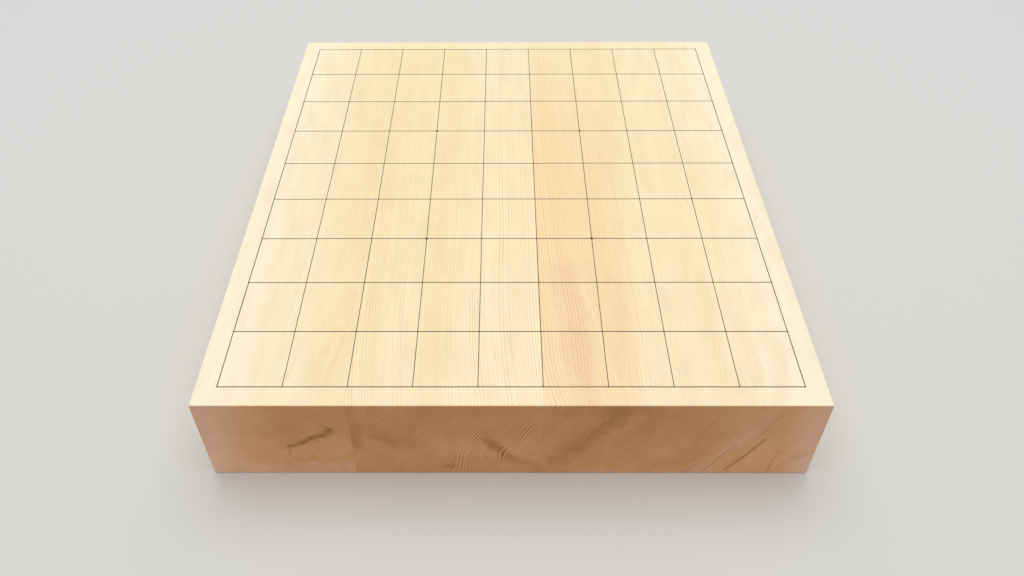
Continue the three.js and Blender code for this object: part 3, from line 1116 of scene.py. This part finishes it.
def studio_floor(stage):
    """Plain matt studio floor: one pale grey without a pattern, which far from the board runs into
    the backdrop, as on a studio sweep."""
    material, tree, shader = new_material("studio_floor")
    shader.inputs["Base Color"].default_value = tuple(stage.floor)
    shader.inputs["Roughness"].default_value = 0.9
    shader.inputs["Specular IOR Level"].default_value = 0.2
    place = add(tree, "ShaderNodeTexCoord").outputs["Object"]
    away = add(tree, VECTOR_MATH, (place,), "LENGTH").outputs["Value"]
    sweep = {"Value": away, "From Min": SWEEP_START, "From Max": SWEEP_END}
    fade = add(tree, MAP_RANGE, sweep, interpolation_type="SMOOTHSTEP")
    fade = add(tree, MATH, (fade, seen_directly(tree)), "MULTIPLY")
    backdrop = add(tree, "ShaderNodeEmission", {"Color": tuple(stage.backdrop), "Strength": 1.0})
    swept = add(tree, "ShaderNodeMixShader", {"Fac": fade, 1: shader, 2: backdrop})
    connect(tree, tree.nodes["Material Output"].inputs["Surface"], swept)
    return material


class SHOGI_OT_stage(bpy.types.Operator):
    """Makes the floor, the light and the camera"""

    bl_idname = "shogi.stage"
    bl_label = "Stage"

    def execute(self, context):
        scene = context.scene
        stage = scene.shogi_board.stage
        mesh_maker = bmesh.new()
        bmesh.ops.create_circle(mesh_maker, cap_ends=True, segments=FLOOR_SIDES, radius=FLOOR_RADIUS)
        mesh = bpy.data.meshes.new("studio_floor")
        mesh_maker.to_mesh(mesh)
        mesh_maker.free()
        mesh.materials.append(studio_floor(stage))
        floor = new_object("studio_floor", mesh)
        floor.location.z = BOARD_LOW.z - FLOOR_DROP

        lamp = bpy.data.lights.new("softbox", "AREA")
        lamp.shape = "SQUARE"
        lamp.size = SOFTBOX_SIZE
        lamp.energy = stage.softbox_power
        new_object("softbox", lamp).location = SOFTBOX_PLACE

        world = bpy.data.worlds.new("studio")
        scene.world = world
        world.use_nodes = True
        tree = world.node_tree
        tree.nodes.clear()
        light = {"Color": linear("#ffffff"), "Strength": stage.daylight}
        light = add(tree, "ShaderNodeBackground", light)
        backdrop = add(tree, "ShaderNodeBackground", {"Color": tuple(stage.backdrop), "Strength": 1.0})
        shown = add(tree, "ShaderNodeMixShader", {"Fac": seen_directly(tree), 1: light, 2: backdrop})
        add(tree, "ShaderNodeOutputWorld", {"Surface": shown})

        view = bpy.data.cameras.new("camera")
        view.lens = stage.lens
        view.shift_x, view.shift_y = CAMERA_SHIFT
        camera = new_object("camera", view)
        camera.location = CAMERA_PLACE
        camera.rotation_euler = (math.pi / 2 + CAMERA_PITCH, CAMERA_ROLL, -CAMERA_YAW)
        scene.camera = camera
        scene.view_settings.view_transform = "Standard"
        return {"FINISHED"}


class SHOGI_PT_board(bpy.types.Panel):
    bl_idname = "SHOGI_PT_board"
    bl_label = "Shogi board"
    bl_space_type = "VIEW_3D"
    bl_region_type = "UI"
    bl_category = "Shogi board"

    def draw(self, context):
        settings = context.scene.shogi_board
        for operator in OPERATORS:
            self.layout.operator(operator.bl_idname)
        for group in (settings.sizes, settings.colours, settings.stage):
            box = self.layout.box()
            for name in settings_of(group):
                box.prop(group, name)


OPERATORS = (SHOGI_OT_stage, SHOGI_OT_staves, SHOGI_OT_grid, SHOGI_OT_star_points)
CLASSES = (BoardSizes, BoardColours, StageLook, BoardSettings, *OPERATORS, SHOGI_PT_board)


def register():
    for each in CLASSES:
        bpy.utils.register_class(each)
    bpy.types.Scene.shogi_board = PointerProperty(type=BoardSettings)


def unregister():
    del bpy.types.Scene.shogi_board
    for each in reversed(CLASSES):
        bpy.utils.unregister_class(each)


def main():
    register()
    bpy.ops.shogi.stage()
    bpy.ops.shogi.staves()
    bpy.ops.shogi.grid()
    bpy.ops.shogi.star_points()


if __name__ == "__main__":
    main()
